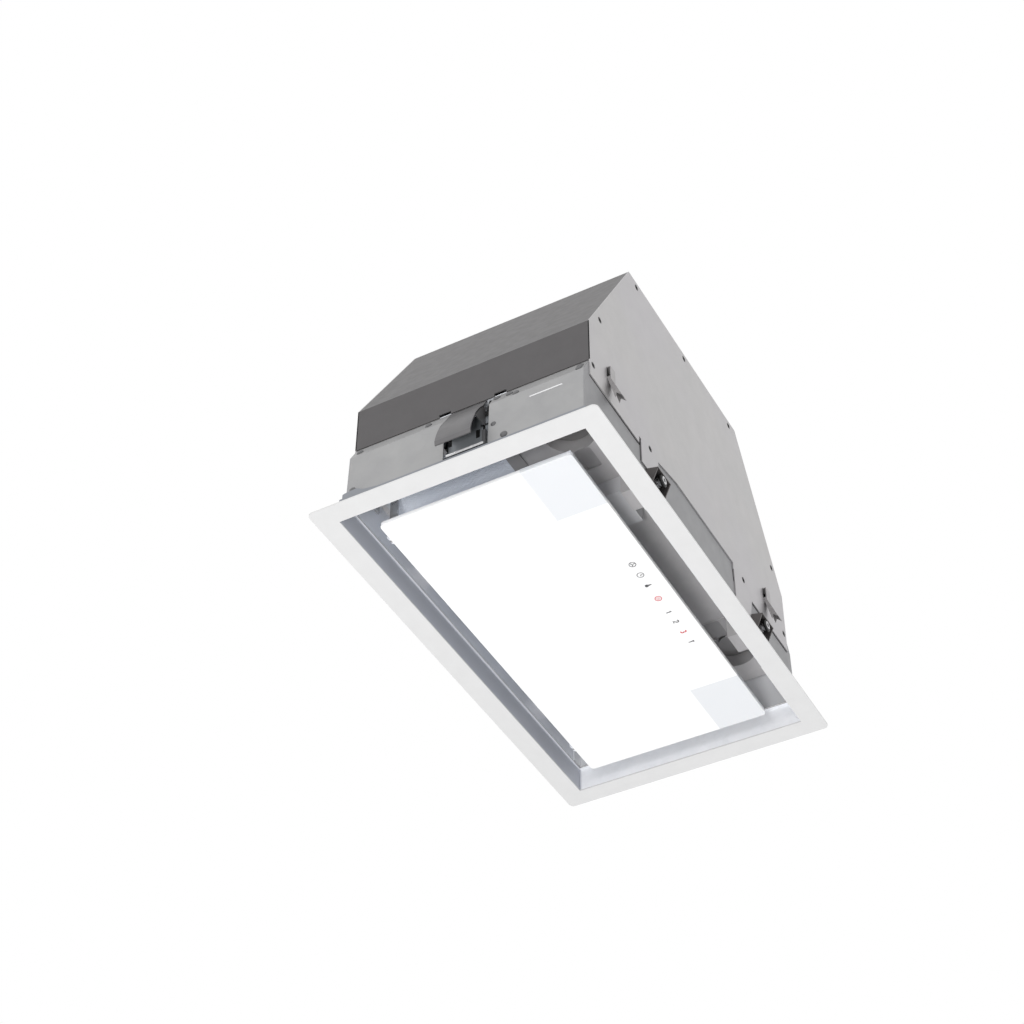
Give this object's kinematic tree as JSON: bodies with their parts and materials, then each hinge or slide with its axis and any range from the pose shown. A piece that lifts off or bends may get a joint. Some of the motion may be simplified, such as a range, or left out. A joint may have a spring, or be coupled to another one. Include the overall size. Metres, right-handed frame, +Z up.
{
  "type": "canopy range hood",
  "caption": "Built-in canopy range hood with perimeter suction round a hinged white glass touch panel, a scroll blower, grease filters, a duct collar with flaps and spring clips.",
  "frame": {"origin": "centre of the trim frame's visible underside, which is the bottom of the overall box", "axes": "+X along the long side, +Y to the rear, away from the touch controls, +Z up towards the duct collar"},
  "size_m": [0.492, 0.28, 0.3473],
  "materials": {
    "trim_white": "satin white powder coat",
    "lip_zinc": "galvanised sheet, dull",
    "box_zinc": "galvanised sheet, dull",
    "end_zinc": "galvanised sheet, dull",
    "side_zinc": "galvanised sheet, satin",
    "cover_grey": "satin grey",
    "collar_black": "matt moulded",
    "flap_zinc": "plain sheet",
    "bright_steel": "zinc plated",
    "impeller_black": "matt moulded",
    "motor_dark": "cast and painted",
    "bush_rubber": "matt",
    "shell_white": "matt moulded",
    "filter_alu": "brushed",
    "moulded_black": "matt moulded",
    "lamp_white": "glossy",
    "board_green": "lacquered board",
    "glass_white": "back-painted white glass, polished",
    "diffuser": "opal",
    "bracket_black": "black zinc",
    "spring_steel": "spring steel",
    "lever_grey": "satin dark grey",
    "screw_black": "black zinc"
  },
  "bodies": {
    "housing": {"trim_frame": "trim_white", "lip_collar": "lip_zinc", "chassis_front": "box_zinc", "chassis_rear": "box_zinc", "end_plate_left": "end_zinc", "end_plate_right": "end_zinc", "side_plate_front": "side_zinc", "side_plate_rear": "side_zinc", "top_cover": "cover_grey", "cover_ends": "cover_grey", "collar_flange": "collar_black", "outlet_collar": "collar_black", "damper_rod": "bright_steel", "scroll_wrap": "box_zinc", "scroll_cheek_front": "box_zinc", "scroll_cheek_rear": "box_zinc", "motor_body": "motor_dark", "motor_bracket": "bright_steel", "motor_bushes": "bush_rubber", "capacitor": "shell_white", "blower_deck": "box_zinc", "filter_carrier": "box_zinc", "grease_filter_left": "filter_alu", "grease_filter_right": "filter_alu", "lamp_mount_left": "side_zinc", "lamp_mount_right": "side_zinc", "lamp_left": "lamp_white", "lamp_right": "lamp_white", "led_driver": "moulded_black", "control_box": "moulded_black", "control_lid": "moulded_black", "control_board": "board_green", "cable_gland": "moulded_black", "panel_hinges": "bright_steel", "hinge_pins": "bright_steel", "catch_magnets": "bracket_black", "clamp_rods": "bright_steel", "clamp_plates": "side_zinc", "clamp_brackets": "bracket_black", "clamp_bolts": "bright_steel", "clamp_guides": "box_zinc", "case_screws": "screw_black", "end_screws": "bright_steel"},
    "panel": {"glass_panel": "glass_white", "panel_tray": "box_zinc", "touch_board": "board_green", "lamp_diffusers": "diffuser", "strike_plates": "bright_steel"},
    "fan_rotor": {"impeller": "impeller_black", "motor_shaft": "bright_steel"},
    "flap_left": {"damper_flap_left": "flap_zinc"},
    "flap_right": {"damper_flap_right": "flap_zinc"},
    "lever_left": {"clamp_lever_left": "lever_grey"},
    "lever_right": {"clamp_lever_right": "lever_grey"},
    "clip_fl": {"clip_front_left": "spring_steel"},
    "clip_fr": {"clip_front_right": "spring_steel"},
    "clip_rl": {"clip_rear_left": "spring_steel"},
    "clip_rr": {"clip_rear_right": "spring_steel"},
    "latch_left": {"filter_latch_left": "moulded_black"},
    "latch_right": {"filter_latch_right": "moulded_black"}
  },
  "joints": [
    {"name": "panel_swing", "type": "hinge", "parent": "housing", "child": "panel", "pos_m": [0, 0.098, 0.014], "axis": [1, 0, 0], "range_deg": [0, 85]},
    {"name": "impeller_spin", "type": "hinge", "parent": "housing", "child": "fan_rotor", "pos_m": [-0.064, 0, 0.20115], "axis": [0, 1, 0], "continuous": true},
    {"name": "flap_left_swing", "type": "hinge", "parent": "housing", "child": "flap_left", "pos_m": [0, 0, 0.3163], "axis": [0, 1, 0], "range_deg": [0, 75]},
    {"name": "flap_right_swing", "type": "hinge", "parent": "housing", "child": "flap_right", "pos_m": [0, 0, 0.3163], "axis": [0, -1, 0], "range_deg": [0, 75]},
    {"name": "lever_left_turn", "type": "hinge", "parent": "housing", "child": "lever_left", "pos_m": [-0.209, 0.004, 0.072], "axis": [0, 1, 0], "range_deg": [0, 60]},
    {"name": "lever_right_turn", "type": "hinge", "parent": "housing", "child": "lever_right", "pos_m": [0.209, 0.004, 0.072], "axis": [0, -1, 0], "range_deg": [0, 60]},
    {"name": "clip_fl_press", "type": "hinge", "parent": "housing", "child": "clip_fl", "pos_m": [-0.1735, -0.1189, 0.1045], "axis": [1, 0, 0], "range_deg": [0, 12], "stiffness_Nm_per_rad": 1},
    {"name": "clip_fr_press", "type": "hinge", "parent": "housing", "child": "clip_fr", "pos_m": [0.1625, -0.1189, 0.1045], "axis": [1, 0, 0], "range_deg": [0, 12], "stiffness_Nm_per_rad": 1},
    {"name": "clip_rl_press", "type": "hinge", "parent": "housing", "child": "clip_rl", "pos_m": [-0.1735, 0.1189, 0.1045], "axis": [-1, 0, 0], "range_deg": [0, 12], "stiffness_Nm_per_rad": 1},
    {"name": "clip_rr_press", "type": "hinge", "parent": "housing", "child": "clip_rr", "pos_m": [0.1625, 0.1189, 0.1045], "axis": [-1, 0, 0], "range_deg": [0, 12], "stiffness_Nm_per_rad": 1},
    {"name": "latch_left_slide", "type": "slide", "parent": "housing", "child": "latch_left", "axis": [0, -1, 0], "range_m": [0, 0.006], "stiffness_N_per_m": 150},
    {"name": "latch_right_slide", "type": "slide", "parent": "housing", "child": "latch_right", "axis": [0, -1, 0], "range_m": [0, 0.006], "stiffness_N_per_m": 150}
  ]
}
